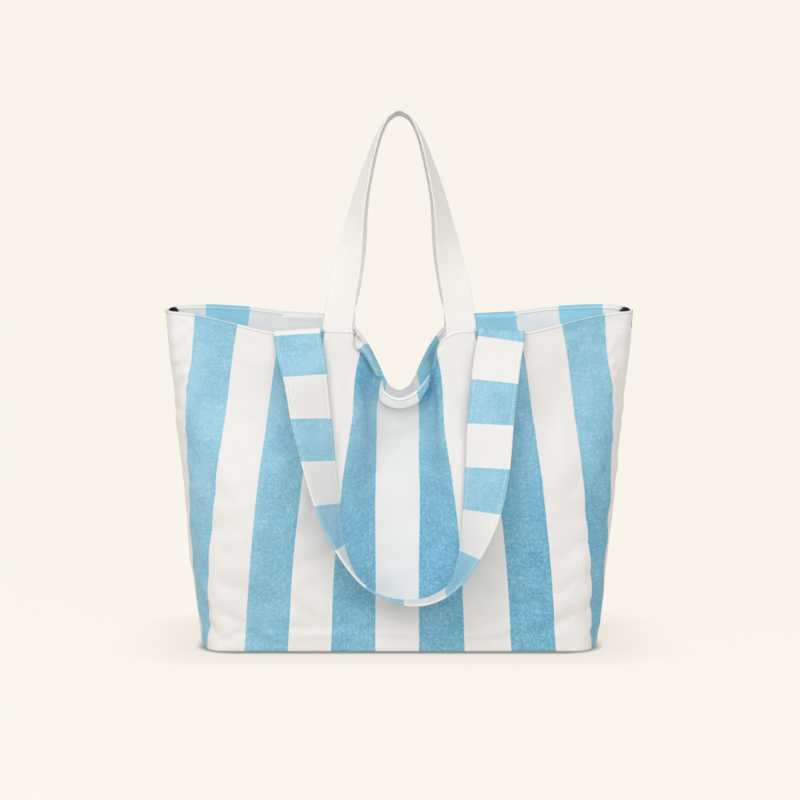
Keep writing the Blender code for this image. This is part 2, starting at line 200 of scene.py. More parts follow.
def eased(knots, values, at):
    """Cubic interpolation that never swings past its knots (Fritsch and Carlson)."""
    knots, values = np.asarray(knots, float), np.asarray(values, float)
    step = np.diff(knots)
    slope = np.diff(values) / step
    rate = np.zeros_like(values)
    before, after = slope[:-1], slope[1:]
    w1, w2 = 2 * step[1:] + step[:-1], step[1:] + 2 * step[:-1]
    same_way = before * after > 0
    safe_before = np.where(same_way, before, 1.0)
    safe_after = np.where(same_way, after, 1.0)
    rate[1:-1] = np.where(same_way, (w1 + w2) / (w1 / safe_before + w2 / safe_after), 0.0)
    rate[0], rate[-1] = slope[0], slope[-1]
    return cubic(knots, values, rate, np.clip(at, knots[0], knots[-1]))


def smooth(knots, values, at):
    """Cubic interpolation with a continuous bend, for routes."""
    knots, values = np.asarray(knots, float), np.asarray(values, float)
    return cubic(knots, values, np.gradient(values, knots), at)


def step01(x):
    """0 before 0, 1 after 1, and smooth in between."""
    x = np.clip(x, 0, 1)
    return x * x * (3 - 2 * x)


def bump(x, centre, width):
    """A soft hill, 1 high at its centre."""
    return np.exp(-(((x - centre) / width) ** 2))


def rounded(x, radius):
    """Height of a quarter-round edge at x in from it, as a share of its radius."""
    return np.sqrt(np.clip(1 - np.clip(1 - x / radius, 0, 1) ** 2, 0, 1))


def unit(vectors):
    return vectors / np.linalg.norm(vectors, axis=-1, keepdims=True)


def waves(seed, count, shortest, longest):
    """A field of soft random ripples over (x, y), about 1 high."""
    random = np.random.default_rng(seed)
    lengths = random.uniform(shortest, longest, count)
    headings = random.uniform(0, math.pi, count)
    phases = random.uniform(0, 2 * math.pi, count)

    def field(x, y):
        total = 0.0
        for length, heading, phase in zip(lengths, headings, phases):
            along = x * math.cos(heading) + y * math.sin(heading)
            total = total + np.sin(2 * math.pi * along / length + phase)
        return total / math.sqrt(count)

    return field


def tube_faces(rows, ring, base=0):
    """Faces between closed rings of points, and one over each end."""
    faces = []
    for r in range(rows - 1):
        low, high = base + r * ring, base + (r + 1) * ring
        for k in range(ring):
            m = (k + 1) % ring
            faces.append((low + k, low + m, high + m, high + k))
    faces.append(tuple(base + k for k in range(ring - 1, -1, -1)))
    faces.append(tuple(base + (rows - 1) * ring + k for k in range(ring)))
    return faces


# ---------------------------------------------------------------- the cloth body

COLUMNS, ROWS = 81, 57
GRID_U = np.linspace(-CLOTH_HALF, CLOTH_HALF, COLUMNS)
GRID_V = np.linspace(0, 1, ROWS)
broad = waves(3, 14, 110, 260)
fine = waves(8, 18, 28, 70)


def mirrored(curve, k, left=None):
    """Knots and values of one coordinate of a level curve, over both halves of a panel."""
    left = left or curve
    sign = -1 if k == 0 else 1
    u = [-x for x in list(left)[:0:-1]] + list(curve)
    values = [sign * point[k] for point in list(left.values())[:0:-1]]
    return u, values + [point[k] for point in curve.values()]


def loft(back):
    """The panel's level curves, joined into a grid of points."""
    levels = BACK_LEVELS if back else FRONT_LEVELS
    lefts = [None] * len(levels)
    if not back:
        outer = {u: point for u, point in FRONT_LEVELS[-1].items() if u > max(FRONT_LEFT_RIM)}
        lefts[-1] = {**FRONT_LEFT_RIM, **outer}
    curves = np.array([
        [eased(*mirrored(level, k, left), GRID_U) for k in range(3)]
        for level, left in zip(levels, lefts)
    ])
    grid = np.empty((ROWS, COLUMNS, 3))
    for column in range(COLUMNS):
        for k in range(3):
            grid[:, column, k] = eased(LEVELS, curves[:, k, column], GRID_V)
    if back:
        grid[..., 1] *= -1
    return grid


def creased(grid, back):
    """The grid with the soft folds that hang from the handles and the side seams."""
    u, v = np.meshgrid(GRID_U, GRID_V)
    seed = 40.0 if back else 0.0
    hang = step01((v - 0.35) / 0.5)
    out = 1.6 * broad(u + 7 * seed, TALL * v + seed) * np.sin(math.pi * v) ** 0.5
    out = out + 0.7 * fine(u + 5 * seed, TALL * v) * np.sin(math.pi * v) ** 0.5
    for centre, width, height in FOLDS:
        sway = centre + 8 * (1 - v)
        out = out + height * bump(u, sway, width) * hang * (1 - 0.6 * step01((v - 0.9) / 0.1))
    edge = bump(abs(u), CLOTH_HALF - 18, 34)
    slant = (TALL * v - 0.8 * (CLOTH_HALF - abs(u))) / 4.6
    out = out + 1.7 * edge * np.sin(slant + 1.8 * fine(v * 300 + seed, u)) * hang
    normal = unit(np.cross(np.gradient(grid, axis=1), np.gradient(grid, axis=0)))
    if back:
        normal = -normal
    hold = step01((1 - v) / 0.05) * step01(v / 0.06) * step01((CLOTH_HALF - abs(u)) / 12)
    if not back:
        turned = step01((u + 124) / 16) * step01((-12 - u) / 14)
        hold = hold * (1 - turned * step01((v - 0.80) / 0.10))
    return grid + normal * (out * hold)[..., None]


def relaxed(front, back):
    """Both grids after the cloth has settled for a moment under its own weight."""
    ring = np.concatenate([front, back[:, -2:0:-1]], axis=1)
    rows, columns = ring.shape[:2]
    walls = tube_faces(rows, columns)[:-2]
    mesh = bpy.data.meshes.new("settling")
    mesh.from_pydata((ring * MM).reshape(-1, 3).tolist(), [], walls)
    piece = bpy.data.objects.new("settling", mesh)
    bpy.context.scene.collection.objects.link(piece)
    held = piece.vertex_groups.new(name="held")
    u, v = np.meshgrid(np.concatenate([GRID_U, GRID_U[-2:0:-1]]), GRID_V)
    grip = 0.25 + 0.75 * np.maximum(step01((0.05 - v) / 0.05), step01((v - 0.93) / 0.05))
    grip = np.maximum(grip, step01((abs(u) - CLOTH_HALF + 14) / 10))
    for i, weight in enumerate(grip.ravel()):
        held.add([i], float(weight), "REPLACE")
    cloth = piece.modifiers.new("Cloth", "CLOTH")
    settings = cloth.settings
    settings.quality = 6
    settings.mass = 0.35
    settings.tension_stiffness = 25
    settings.compression_stiffness = 25
    settings.shear_stiffness = 12
    settings.bending_stiffness = 4.0
    settings.vertex_group_mass = "held"
    settings.pin_stiffness = 1.2
    settings.shrink_min = -0.012
    cloth.collision_settings.use_collision = False
    scene = bpy.context.scene
    for number in range(1, SETTLING_FRAMES + 1):
        scene.frame_set(number)
    graph = bpy.context.evaluated_depsgraph_get()
    after = np.empty(rows * columns * 3, np.float32)
    piece.evaluated_get(graph).data.vertices.foreach_get("co", after)
    scene.frame_set(1)
    bpy.data.objects.remove(piece)
    bpy.data.meshes.remove(mesh)
    move = after.reshape(rows, columns, 3) / MM - ring
    share = SETTLES * step01((0.86 - v) / 0.2) * step01((CLOTH_HALF - 10 - abs(u)) / 45)
    move *= share[..., None]
    length = np.linalg.norm(move, axis=2, keepdims=True)
    move *= np.minimum(1, MOST_SETTLING / np.maximum(length, 1e-6))
    ring = ring + move
    new_back = np.concatenate([ring[:, :1], ring[:, :COLUMNS - 2:-1]], axis=1)
    return ring[:, :COLUMNS], new_back


front_grid, back_grid = creased(loft(False), False), creased(loft(True), True)
front_grid, back_grid = relaxed(front_grid, back_grid)
GRIDS = {False: front_grid, True: back_grid}


def weights(t):
    """The shares of four neighbours in a curve that runs through the middle two."""
    return (
        -0.5 * t + t * t - 0.5 * t**3,
        1 - 2.5 * t * t + 1.5 * t**3,
        0.5 * t + 2 * t * t - 1.5 * t**3,
        -0.5 * t * t + 0.5 * t**3,
    )


def on_grid(grid, u, v):
    """Points of the bicubic surface through a grid."""
    column = np.clip((u / CLOTH_HALF + 1) / 2, 0, 1) * (COLUMNS - 1)
    row = np.clip(v, 0, 1) * (ROWS - 1)
    c = np.minimum(column.astype(int), COLUMNS - 2)
    r = np.minimum(row.astype(int), ROWS - 2)
    across, up = weights(column - c), weights(row - r)
    padded = np.concatenate([2 * grid[:1] - grid[1:2], grid, 2 * grid[-1:] - grid[-2:-1]])
    first, last = 2 * padded[:, :1] - padded[:, 1:2], 2 * padded[:, -1:] - padded[:, -2:-1]
    padded = np.concatenate([first, padded, last], axis=1)
    total = 0.0
    for j in range(4):
        for i in range(4):
            total = total + padded[r + j, c + i] * (up[j] * across[i])[..., None]
    return total


def cloth_height(back, u):
    """Length of the cloth from base to rim, along each column u."""
    v = np.linspace(0, 1, 90)[:, None]
    flat_u = np.asarray(u, float).reshape(1, -1)
    line = on_grid(GRIDS[back], flat_u + 0 * v, v + 0 * flat_u)
    return np.linalg.norm(np.diff(line, axis=0), axis=2).sum(0).reshape(np.shape(u))


def lip_share(u):
    """How far the front hem stands off as a lip, from 0 to 1: it does round the dip."""
    return step01((u + 34) / 12) * step01((LIP_END - u) / 40)


def hem_turn(u, s):
    """(angle, squareness) of the front hem's outward turn, s above the turn zone's foot.
    Left of the middle a flap of it is turned right over; at the dip it stands off like a
    lip. A square turn is about the rim's own direction, as a fold in cloth is."""
    flap = eased(FLAP_AT, FLAP_LENGTH, u)
    over = step01(flap / 3) * step01((s - (TURN_ZONE - 2 - flap)) / 4)
    lip = math.radians(80) * step01((s - 2.5) / 2.5) - math.radians(102) * step01((s - 7.5) / 3.5)
    return math.radians(168) * over + lip_share(u) * lip, over


def surface(back, u, d, depth, rise=0.0):
    """Points on a panel, d below the rim along the cloth, depth under its outer face."""
    u, d = np.broadcast_arrays(np.asarray(u, float), np.asarray(d, float))
    tall = cloth_height(back, u[0])[None, :]
    grid = GRIDS[back]

    def frame_at(v):
        gap_u, gap_v = 1.2, 0.004
        along = unit(on_grid(grid, u + gap_u, v) - on_grid(grid, u - gap_u, v))
        up = unit(on_grid(grid, u, v + gap_v) - on_grid(grid, u, v - gap_v))
        normal = unit(np.cross(along, up) * (-1 if back else 1))
        return normal, up, np.cross(normal, along)

    v = 1 - d / tall
    here = on_grid(grid, u, v)
    normal, up, _ = frame_at(v)
    if not back and (d < TURN_ZONE).any():
        # Add up the turned direction in small steps from the foot of the turn zone.
        s = np.clip(TURN_ZONE - d, 0, TURN_ZONE)
        root_normal, root_up, root_square = frame_at(1 - np.maximum(d, TURN_ZONE) / tall)
        shift, steps = -root_up * s[..., None], 30
        for k in range(steps):
            angle, square = (a[..., None] for a in hem_turn(u[:1], s * (k + 0.5) / steps))
            way = unit(root_up * (1 - square) + root_square * square)
            shift += (way * np.cos(angle) + root_normal * np.sin(angle)) * s[..., None] / steps
        here = here + shift
        angle, square = (np.where(s > 0, a, 0)[..., None] for a in hem_turn(u[:1], s))
        way = unit(up * (1 - square) + root_square * square)
        normal, up = (normal * np.cos(angle) - way * np.sin(angle),
                      way * np.cos(angle) + normal * np.sin(angle))
    tuck = SEAM_TUCK * bump(CLOTH_HALF - abs(u), 0, 2.2)
    tuck = tuck + FOOT_ROUND * (1 - rounded(tall - d, FOOT_ROUND))
    hem = 0.15 * step01((HEM + 2 - d) / 4)
    stitched = 0.5 * bump(d, STITCH_ROW, 0.9)
    points = here - normal * (depth + tuck + stitched - hem)[..., None]
    points = points + up * np.broadcast_to(rise, d.shape)[..., None]
    # The two panels stay apart where they meet, and off the floor.
    way, gap, lift = (1 if back else -1), 0.15, 0.05
    points[..., 1] = way * np.maximum(way * points[..., 1], gap)
    points[..., 2] = np.maximum(points[..., 2], lift)
    return points


def band_depth(u):
    """Depth of the inner band's outer face: it makes room for the sewn-in webbing."""
    side = abs(u)
    return 2.75 + 2.1 * step01((side - 90) / 9) * step01((152 - side) / 9)


# ---------------------------------------------------------------- cloth meshes

# Rows by their distance below the rim, close together at the rim and at the foot.
FINE_ZONE, DEEPEST, FOOT_ZONE = 30.0, TALL, 6.0
SHARE = 2  # how finely the large cloths are meshed
NEAR_RIM = np.array([0, 0.6, 1.2, 1.8, 2.4, 2.9, 3.4, 3.9, 4.4, 5.0, 6.0, 7.4, 8.8, 10.0,
                     11.0, 12.0, 13.0, 14.0, 14.8, 15.7, 16.8, 18.0, 19.2, 20.4, 21.6, 23.0,
                     25.0, 27.5, FINE_ZONE])
far_rows = np.linspace(FINE_ZONE, DEEPEST - FOOT_ZONE, 60 * SHARE)[1:]
foot_rows = np.linspace(DEEPEST - FOOT_ZONE, DEEPEST, 8)[1:]
PANEL_D = np.concatenate([NEAR_RIM, far_rows, foot_rows])[::-1]
side_u = np.array([324, 329, 332.5, 335, 337, 338.3, 339.2, 339.8, CLOTH_HALF])
middle_u = np.linspace(-320, 320, 110 * SHARE + 1)
PANEL_U = np.concatenate([-side_u[::-1], middle_u, side_u])
# The painted light of a piece that has none of its own: (how pale it is painted, metres below the
# rim).
PLAIN_PAINTED_LIGHT = 1.0, 0.1


def new_object(name, points, faces, uv, material, wear_and_painted_light=None, weld=False):
    """A smooth mesh object from points in millimetres and one flat place per point.
    Its second map of flat places holds, for each point, (how pale the cloth is painted, distance
    below the rim): painted light and shade. weld joins equal points."""
    mesh = bpy.data.meshes.new(name)
    mesh.from_pydata((np.asarray(points) * MM).tolist(), [], faces)
    layer = mesh.uv_layers.new(name="cloth")
    corners = np.empty(len(mesh.loops), np.int32)
    mesh.loops.foreach_get("vertex_index", corners)
    layer.data.foreach_set("uv", (np.asarray(uv)[corners] * MM).astype(np.float32).ravel())
    if wear_and_painted_light is None:
        wear_and_painted_light = np.broadcast_to(PLAIN_PAINTED_LIGHT, (len(points), 2))
    second = mesh.uv_layers.new(name="wear_and_painted_light")
    second.data.foreach_set("uv", np.asarray(wear_and_painted_light)[corners].astype(np.float32).ravel())
    mesh.materials.append(material)
    if weld:
        build = bmesh.new()
        build.from_mesh(mesh)
        bmesh.ops.remove_doubles(build, verts=build.verts, dist=1e-6)
        build.to_mesh(mesh)
        build.free()
    mesh.shade_smooth()
    mesh.validate()
    made = bpy.data.objects.new(name, mesh)
    bpy.context.scene.collection.objects.link(made)
    return made


def grid_faces(rows, columns, wrap=False, flip=False):
    """Faces between rows of points, and with wrap between the last row and the first."""
    faces = []
    for r in range(rows if wrap else rows - 1):
        s = (r + 1) % rows
        for c in range(columns - 1):
            quad = (r * columns + c, r * columns + c + 1, s * columns + c + 1, s * columns + c)
            faces.append(quad[::-1] if flip else quad)
    return faces


def stripe_drift(u):
    """How far the front's stripes lie to the right of an even pitch: cloth stretches."""
    right, left = step01((u - 30) / 190), step01((-190 - u) / 60)
    return -2.6 + 7.4 * right + 1.8 * bump(u, -150, 36) - 1.2 * left


INNER_PALENESS = 1.5  # how pale the cloth's inner face is painted, on the same scale: painted light that lifts the shade inside the bag


def painted_paleness(points, inside):
    """How pale the blue is painted, from 0 to 1: paler towards the rim, paler on the left where
    the key light falls and darker on the right (painted light), and deeper in the dip (painted
    shade). The cloth's inner face is
    paler still: painted light that lifts its shade."""
    x, _, z = np.moveaxis(points, -1, 0)
    pale = 0.36 + 0.55 * step01((z - 120) / 240) + 0.35 * step01((-80 - x) / 140)
    pale = pale - 0.14 * step01(x / 100)
    # Painted shade: the blue is deeper in the dip under the front rim, on both sides of the
    # middle.
    dip = bump(x, -48, 20) * step01((z - 300) / 50) + bump(x, 34, 18) * step01((z - 290) / 40)
    pale = pale - 1.1 * dip
    return np.where(inside, INNER_PALENESS, np.clip(pale, 0, 1.1))


def rounded_cloth(name, back, u, d, depth, thickness, hem_thickness, material):
    """Cloth that follows a panel: outer face up, over a rounded top, inner face down."""
    u, d = np.asarray(u, float), np.asarray(d, float)
    half = hem_thickness / 2
    turn = np.linspace(0, math.pi, 9)[1:-1]
    rows_d = np.concatenate([d, np.full(len(turn), d[-1]), d[::-1]])
    inner = thickness + (hem_thickness - thickness) * step01((HEM + 1 - d[::-1]) / 1.5)
    rows_depth = np.concatenate([0 * d, half - half * np.cos(turn), inner])
    rows_rise = np.concatenate([0 * d, half * np.sin(turn), 0 * d])
    uu, dd = np.meshgrid(u, rows_d)
    tall = cloth_height(back, u)[None, :]
    # Rows deeper than the hem are spread evenly over what is left of each column.
    share = (dd - FINE_ZONE) / (DEEPEST - FINE_ZONE)
    if d[0] >= DEEPEST:
        dd = np.where(dd > FINE_ZONE, FINE_ZONE + share * (tall - FINE_ZONE), dd)
    depths = rows_depth[:, None] + np.broadcast_to(depth, u.shape)[None, :]
    middle = np.broadcast_to(depth, u.shape) + thickness / 2
    depths[:, 0], depths[:, -1] = middle[0], middle[-1]
    depths[0] = depths[-1] = middle
    rises = np.repeat(rows_rise[:, None], len(u), axis=1)
    points = surface(back, uu, dd, depths, rises)
    drift = BACK_STRIPES if back else stripe_drift(uu)
    uv = np.stack([uu - drift, tall - dd + 2 * rises], axis=-1)
    inside = np.broadcast_to((depths > thickness * 0.6)[..., None], points.shape)[..., 0]
    paleness = painted_paleness(points, inside)
    if not back:
        # The doubled hem is deeper in colour; its lip and its turned-over flap are painted paler
        # where they catch the light from above (painted light), and the lip's rolled top gets a
        # painted highlight.
        lip = lip_share(uu) * ~inside
        plain = (step01((FLAP_AT[0] - uu) / 6) + step01((uu - LIP_END) / 6)) * ~inside
        hem = step01((HEM + 1 - dd) / 4)
        paleness = paleness - (0.22 + 0.23 * (uu < 0)) * hem * plain
        paleness = paleness + (0.85 - paleness) * 0.8 * hem * lip
        paleness = paleness + (INNER_PALENESS - paleness) * step01((2.4 - dd) / 0.8) * lip
        paleness = paleness + (1.0 - paleness) * hem_turn(u[None, :], np.clip(TURN_ZONE - dd, 0, None))[1]
    wear_and_painted_light = np.stack([paleness, (dd + 4 * inside) * MM], axis=-1)
    faces = grid_faces(len(rows_d), len(u), flip=back)
    return new_object(name, points.reshape(-1, 3), faces, uv.reshape(-1, 2), material,
                      wear_and_painted_light.reshape(-1, 2), weld=True)


# ---------------------------------------------------------------- materials

SHADER_INPUTS = {
    "colour": "Base Color", "rough": "Roughness", "metal": "Metallic",
    "gloss": "Specular IOR Level", "sheen": "Sheen Weight", "sheen_rough": "Sheen Roughness",
    "glow": "Emission Color", "glow_strength": "Emission Strength",
}


class Nodes:
    """Short names for building a material's node tree."""

    def __init__(self, name):
        self.material = bpy.data.materials.new(name)
        self.material.use_nodes = True
        self.tree = self.material.node_tree
        self.shader = self.tree.nodes["Principled BSDF"]

    def add(self, kind, **settings):
        node = self.tree.nodes.new(kind)
        for key, value in settings.items():
            setattr(node, key, value)
        return node

    def link(self, source, target):
        self.tree.links.new(source, target)

    def put(self, socket, value):
        """Gives a socket a number, a colour of three numbers, or a link."""
        if isinstance(value, tuple):
            socket.default_value = (*value, 1)
        elif isinstance(value, (int, float)):
            socket.default_value = value
        else:
            self.link(value, socket)

    def split(self, vector):
        node = self.add("ShaderNodeSeparateXYZ")
        self.link(vector, node.inputs[0])
        return node.outputs

    def own_place(self):
        return self.add("ShaderNodeTexCoord").outputs["Object"]

    def feed(self, **inputs):
        """Gives the shader's inputs their values or links."""
        for name, value in inputs.items():
            self.put(self.shader.inputs[SHADER_INPUTS[name]], value)

    def math(self, operation, a, b=0.0, c=0.0):
        node = self.add("ShaderNodeMath", operation=operation)
        for socket, value in zip(node.inputs, (a, b, c)):
            self.put(socket, value)
        return node.outputs[0]

    def times(self, a, b):
        return self.math("MULTIPLY", a, b)

    def plus(self, a, b):
        return self.math("ADD", a, b)

    def mix(self, share, a, b):
        node = self.add("ShaderNodeMix", data_type="RGBA")
        self.put(node.inputs[0], share)
        self.put(node.inputs[6], a)
        self.put(node.inputs[7], b)
        return node.outputs[2]

    def noise(self, place, scale, detail=2.0, rough=0.5, stretch=None):
        if stretch:
            mapping = self.add("ShaderNodeMapping")
            self.link(place, mapping.inputs[0])
            mapping.inputs["Scale"].default_value = stretch
            place = mapping.outputs[0]
        node = self.add("ShaderNodeTexNoise")
        self.link(place, node.inputs["Vector"])
        node.inputs["Scale"].default_value = scale
        node.inputs["Detail"].default_value = detail
        node.inputs["Roughness"].default_value = rough
        return node.outputs[0]

    def range(self, value, low, high, out_low=0.0, out_high=1.0):
        node = self.add("ShaderNodeMapRange", interpolation_type="SMOOTHSTEP")
        for index, number in enumerate((value, low, high, out_low, out_high)):
            self.put(node.inputs[index], number)
        return node.outputs[0]

    def bump(self, height, distance, strength=1.0):
        node = self.add("ShaderNodeBump")
        node.inputs["Strength"].default_value = strength
        node.inputs["Distance"].default_value = distance
        self.link(height, node.inputs["Height"])
        self.link(node.outputs[0], self.shader.inputs["Normal"])


def cloth_nodes(name):
    """(nodes, flat place vector, u, v) for a material that reads the cloth's own UVs."""
    nodes = Nodes(name)
    place = nodes.add("ShaderNodeUVMap", uv_map="cloth").outputs[0]
    u, v, _ = nodes.split(place)
    return nodes, place, u, v


def weave(nodes, u, v, pitch):
    """Height of a plain weave: warp and weft cross over each other in turn."""
    warp = nodes.math("SINE", nodes.times(u, math.pi / pitch))
    weft = nodes.math("SINE", nodes.times(v, math.pi / pitch))
    return nodes.times(warp, weft)


def canvas_material():
    """Blue and white stripes, white in the middle, with loose fibres, and painted light and shade
    in the colour.
    """
    nodes, place, u, v = cloth_nodes("striped_canvas")
    paleness, below, _ = nodes.split(nodes.add("ShaderNodeUVMap", uv_map="wear_and_painted_light").outputs[0])
    wobble = nodes.noise(place, 260.0, 3.0)
    sway = nodes.math("MULTIPLY_ADD", wobble, 0.0012, -0.0006)
    across = nodes.plus(u, sway)
    period = 2 * STRIPE * MM
    cycle = nodes.math("FRACT", nodes.plus(nodes.math("DIVIDE", across, period), 0.25))
    away = nodes.math("ABSOLUTE", nodes.math("SUBTRACT", cycle, 0.25))
    # away is 0 in the middle of a white stripe and 0.25 at its edges
    far = nodes.math("MINIMUM", away, nodes.math("SUBTRACT", 1.0, away))
    blue = nodes.range(far, 0.2475, 0.2525)
    cloud = nodes.noise(place, 22.0, 4.0, 0.6)
    fleck = nodes.noise(place, 700.0, 2.0, 0.7)
    # Loose fibres: the lines along which two crawling noises cross their middle value.
    lines = []
    for scale, wide in ((185.0, 0.050), (120.0, 0.032)):
        crawl = nodes.noise(place, scale, 1.0, 0.5)
        ridge = nodes.math("ABSOLUTE", nodes.math("SUBTRACT", crawl, 0.5))
        lines.append(nodes.math("SUBTRACT", 1.0, nodes.range(ridge, 0.0, wide)))
    fibre = nodes.math("MAXIMUM", lines[0], lines[1])
    patch = nodes.range(cloud, 0.30, 0.70)
    # Painted light and shade: deep is the blue in shade, light the blue where the light falls,
    # mixed by how pale the cloth is painted.
    deep = nodes.mix(patch, (0.062, 0.322, 0.505), (0.105, 0.400, 0.590))
    light = nodes.mix(patch, (0.215, 0.480, 0.640), (0.315, 0.580, 0.730))
    tint = nodes.mix(nodes.range(paleness, -0.1, 1.05), deep, light)
    # Painted light lifts the inner faces and the rolled rim to a paler blue, and their white to
    # near white.
    lift = nodes.range(paleness, 1.1, INNER_PALENESS)
    tint = nodes.mix(lift, tint, (0.33, 0.74, 0.93))
    tint = nodes.mix(nodes.times(fibre, 0.34), tint, (0.56, 0.76, 0.84))
    tint = nodes.mix(nodes.times(fleck, 0.08), tint, (0.62, 0.78, 0.84))
    pale = nodes.mix(cloud, (0.785, 0.775, 0.765), (0.840, 0.830, 0.822))
    pale = nodes.mix(nodes.times(fleck, 0.12), pale, (0.66, 0.65, 0.64))
    pale = nodes.mix(nodes.times(fibre, 0.10), pale, (0.93, 0.92, 0.91))
    pale = nodes.mix(lift, pale, (0.95, 0.945, 0.94))
    shade = nodes.mix(blue, pale, tint)
    # Painted shade greys the crease under the rolled rim, and a painted highlight makes the roll
    # itself paler.
    rim_shade = nodes.times(nodes.range(below, 0.0012, 0.0022),
                       nodes.range(below, 0.0030, 0.0055, 1.0, 0.0))
    roll_highlight = nodes.range(below, 0.0004, 0.0012, 1.0, 0.0)
    grey = nodes.mix(blue, (0.50, 0.47, 0.44), (0.10, 0.27, 0.37))
    shade = nodes.mix(nodes.times(rim_shade, 0.40), shade, grey)
    shade = nodes.mix(nodes.times(roll_highlight, 0.28), shade, (0.84, 0.87, 0.88))
    height = nodes.plus(nodes.times(weave(nodes, u, v, 0.0008), 0.35),
                        nodes.times(nodes.noise(place, 420.0, 3.0, 0.65), 0.6))
    nodes.bump(height, 0.0004, 0.5)
    nodes.feed(colour=shade, rough=nodes.range(cloud, 0.2, 0.8, 0.82, 0.95), gloss=0.2,
               sheen=0.10, sheen_rough=0.5)
    return nodes.material


def webbing_material():
    """Cotton webbing: a fine twill with a row of picks across."""
    nodes, place, u, v = cloth_nodes("cotton_webbing")
    rib = nodes.math("SINE", nodes.times(nodes.plus(u, v), math.pi / 0.0007))
    cross = nodes.math("SINE", nodes.times(v, 2 * math.pi / 0.0022))
    twill = nodes.plus(nodes.times(rib, 0.5), nodes.times(cross, 0.3))
    cloud = nodes.noise(place, 60.0, 4.0, 0.6)
    fleck = nodes.noise(place, 1100.0, 2.0, 0.7)
    shade = nodes.mix(cloud, (0.80, 0.785, 0.765), (0.87, 0.86, 0.845))
    shade = nodes.mix(nodes.times(fleck, 0.15), shade, (0.68, 0.66, 0.63))
    nodes.bump(nodes.plus(twill, nodes.times(fleck, 0.3)), 0.00012, 0.25)
    nodes.feed(colour=shade, rough=nodes.range(cloud, 0.2, 0.8, 0.78, 0.92), gloss=0.3,
               sheen=0.12)
    return nodes.material


def tape_material():
    nodes, place, u, v = cloth_nodes("binding_tape")
    cloud = nodes.noise(place, 80.0, 3.0, 0.6)
    nodes.bump(weave(nodes, u, v, 0.0005), 0.0003, 0.5)
    nodes.feed(colour=nodes.mix(cloud, (0.66, 0.63, 0.58), (0.76, 0.735, 0.69)),
               rough=nodes.range(cloud, 0.2, 0.8, 0.85, 0.95))
    return nodes.material


def thread_material():
    nodes = Nodes("stitch_thread")
    twist = nodes.noise(nodes.own_place(), 1500.0, 2.0)
    nodes.bump(twist, 0.0001, 0.5)
    nodes.feed(colour=nodes.mix(twist, (0.78, 0.81, 0.82), (0.88, 0.90, 0.905)),
               rough=nodes.range(twist, 0.3, 0.7, 0.5, 0.7))
    return nodes.material


def metal_material():
    nodes = Nodes("black_enamel")
    wear_and_painted_light = nodes.noise(nodes.own_place(), 500.0, 4.0, 0.6)
    rubbed = nodes.range(wear_and_painted_light, 0.60, 0.75)
    nodes.bump(wear_and_painted_light, 0.00008, 0.4)
    nodes.feed(colour=nodes.mix(rubbed, (0.010, 0.010, 0.012), (0.10, 0.10, 0.105)),
               rough=nodes.range(wear_and_painted_light, 0.3, 0.7, 0.22, 0.42), metal=0.85)
    return nodes.material


def board_material():
    nodes = Nodes("grey_board")
    fibre = nodes.noise(nodes.own_place(), 90.0, 5.0, 0.7, stretch=(1, 4, 1))
    nodes.bump(fibre, 0.0003, 0.4)
    nodes.feed(colour=nodes.mix(fibre, (0.36, 0.31, 0.24), (0.50, 0.44, 0.35)),
               rough=nodes.range(fibre, 0.3, 0.7, 0.7, 0.9))
    return nodes.material


canvas = canvas_material()
webbing = webbing_material()
tape = tape_material()
thread = thread_material()

# ---------------------------------------------------------------- panels, facings, tapes

ROOT = "bag"
SIDES = (("front", False), ("back", True))


def panel(side, back):
    made = rounded_cloth(f"{side}_canvas", back, PANEL_U, PANEL_D, 0.0, CANVAS, HEM_THICK,
                         canvas)
    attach(made, ROOT)
    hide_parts(f"{side}_panel")


def lining_band(side, back):
    u = PANEL_U[abs(PANEL_U) < BAND_END]
    d = np.concatenate([BAND_FOOT, NEAR_RIM[::-1]])
    made = rounded_cloth(f"{side}_lining_band", back, u, d, band_depth(u), FACING, FACING,
                         canvas)
    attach(made, ROOT)
    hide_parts(f"{side}_facing")


for side, back in SIDES:
    panel(side, back)
    lining_band(side, back)

# ---------------------------------------------------------------- straps and handles


def route_lengths(points):
    return np.concatenate([[0], np.cumsum(np.linalg.norm(np.diff(points, axis=0), axis=1))])


def ribbon(name, centres, widths, width, thickness, uv_along, dimples, material, press,
           paleness):
    """A strip with rolled edges. dimples are (distance from its edge, depth, width).
    press is the share of the thickness that is left at each centre, and the last argument how
    pale
    the cloth is painted there: painted light and shade."""
    half, edge = width / 2, thickness / 2
    along = unit(np.gradient(centres, axis=0))
    widths = unit(widths - along * (widths * along).sum(1, keepdims=True))
    face = np.cross(along, widths)
    w = [-half, -half + 0.25 * edge, *np.linspace(-half + edge, half - edge, 29),
         half - 0.25 * edge, half]
    w += [way * (half - at + k) for at, _, _ in dimples for way in (-1, 1)
          for k in (-1.2, -0.6, 0, 0.6, 1.2)]
    w = np.unique(w)
    from_edge = half - abs(w)
    tall = edge * rounded(from_edge, edge)
    for at, deep, wide in dimples:
        tall = tall - deep * bump(from_edge, at, wide)
    tall[0] = tall[-1] = 0
    ring_w = np.concatenate([w, w[-2:0:-1]])
    ring_t = np.concatenate([tall, -tall[-2:0:-1]])
    points = (centres[:, None] + widths[:, None] * ring_w[None, :, None]
              + face[:, None] * (ring_t[None, :] * np.asarray(press)[:, None])[..., None])
    count, ring = len(centres), len(ring_w)
    uv = np.stack(np.broadcast_arrays(uv_along[:, None], ring_w[None, :]), axis=-1)
    wear_and_painted_light = np.stack([np.repeat(paleness, ring), np.full(count * ring, PLAIN_PAINTED_LIGHT[1])], axis=-1)
    made = new_object(name, points.reshape(-1, 3), tube_faces(count, ring),
                      uv.reshape(-1, 2), material, wear_and_painted_light)
    return made, widths, face


